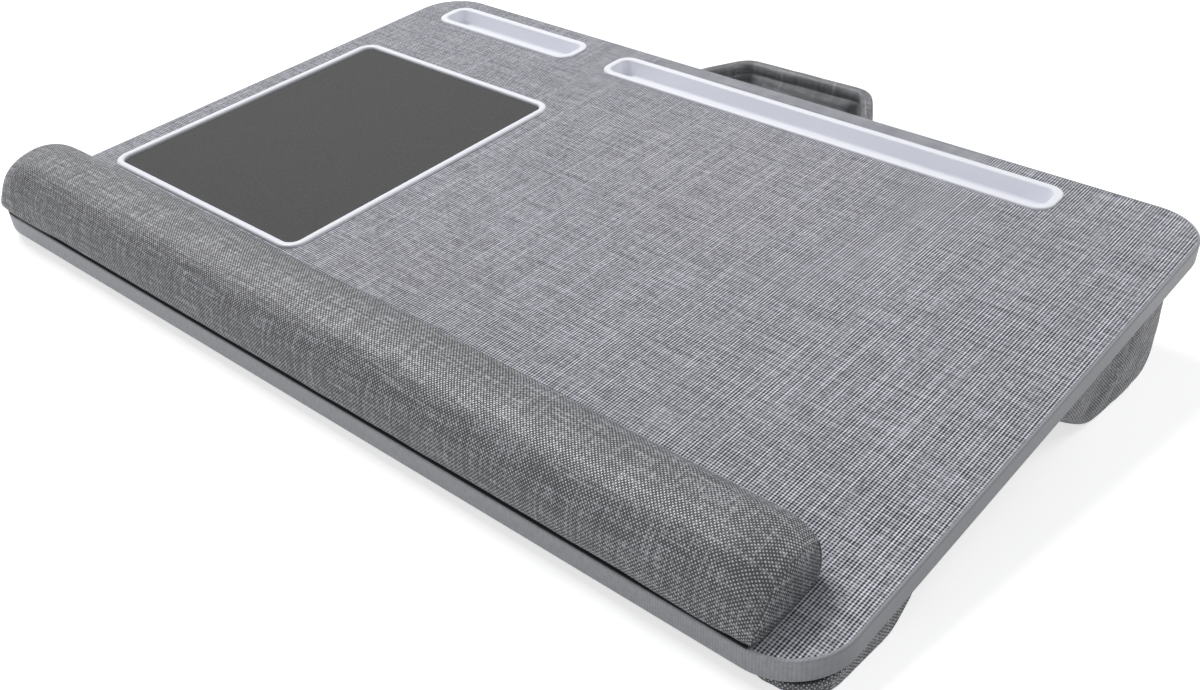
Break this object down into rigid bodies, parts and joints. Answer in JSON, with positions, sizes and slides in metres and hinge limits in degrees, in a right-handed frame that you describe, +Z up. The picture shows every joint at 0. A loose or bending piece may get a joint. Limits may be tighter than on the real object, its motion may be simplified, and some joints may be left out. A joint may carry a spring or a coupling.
{
  "type": "lap tray with cushion",
  "caption": "Lap tray with a woven-look board, mouse pad, pen and tablet slots, padded wrist rest, two-bolster cushion underneath and a fabric carry handle.",
  "frame": {"origin": "middle of the bounding box, on the table the cushion stands on", "axes": "+X to the user's right, +Y from the user to the back of the tray, +Z up"},
  "size_m": [0.6, 0.457, 0.077],
  "materials": {
    "linen_laminate": "melamine laminate printed and embossed as a fine grey linen weave",
    "backing_laminate": "plain grey balancing laminate",
    "grey_edge_band": "smooth satin ABS edge band",
    "fibreboard": "raw medium density fibreboard",
    "white_abs": "satin white injection moulded ABS",
    "grained_mat": "fine-grained dark grey polyurethane leather",
    "melange_fabric": "grey melange polyester in a coarse plain weave",
    "closure_tape": "woven hook and loop tape",
    "adhesive_tape": "black foam tape",
    "stiff_strip": "plain polypropylene sheet",
    "foam": "open-cell polyurethane foam",
    "bead_filling": "expanded polystyrene beads",
    "filler_cord": "cotton piping cord"
  },
  "bodies": {
    "tray": {"back_bolster_cover": "melange_fabric", "back_bolster_end_left": "melange_fabric", "back_bolster_end_right": "melange_fabric", "back_bolster_filling": "bead_filling", "backing_sheet": "backing_laminate", "board_core": "fibreboard", "cushion_top_panel": "melange_fabric", "edge_band": "grey_edge_band", "front_bolster_cover": "melange_fabric", "front_bolster_filling": "bead_filling", "handle_tab_left": "melange_fabric", "handle_tab_right": "melange_fabric", "hook_tape": "closure_tape", "loop_tape": "closure_tape", "mouse_pad_frame": "white_abs", "mouse_pad_mat": "grained_mat", "pen_slot_liner": "white_abs", "tablet_slot_liner": "white_abs", "top_laminate": "linen_laminate", "wrist_rest_cover": "melange_fabric", "wrist_rest_end_left": "melange_fabric", "wrist_rest_end_right": "melange_fabric", "wrist_rest_foam": "foam", "wrist_rest_strip": "stiff_strip", "wrist_rest_tape": "adhesive_tape"},
    "handle": {"handle_cover": "melange_fabric", "handle_pad": "foam", "handle_cord": "filler_cord"}
  },
  "joints": [
    {"name": "handle_swing", "type": "hinge", "parent": "tray", "child": "handle", "pos_m": [0, 0.12992, 0.0284], "axis": [1, 0, 0], "range_deg": [-20, 0], "stiffness_Nm_per_rad": 1.2, "springref_deg": 6.88}
  ]
}
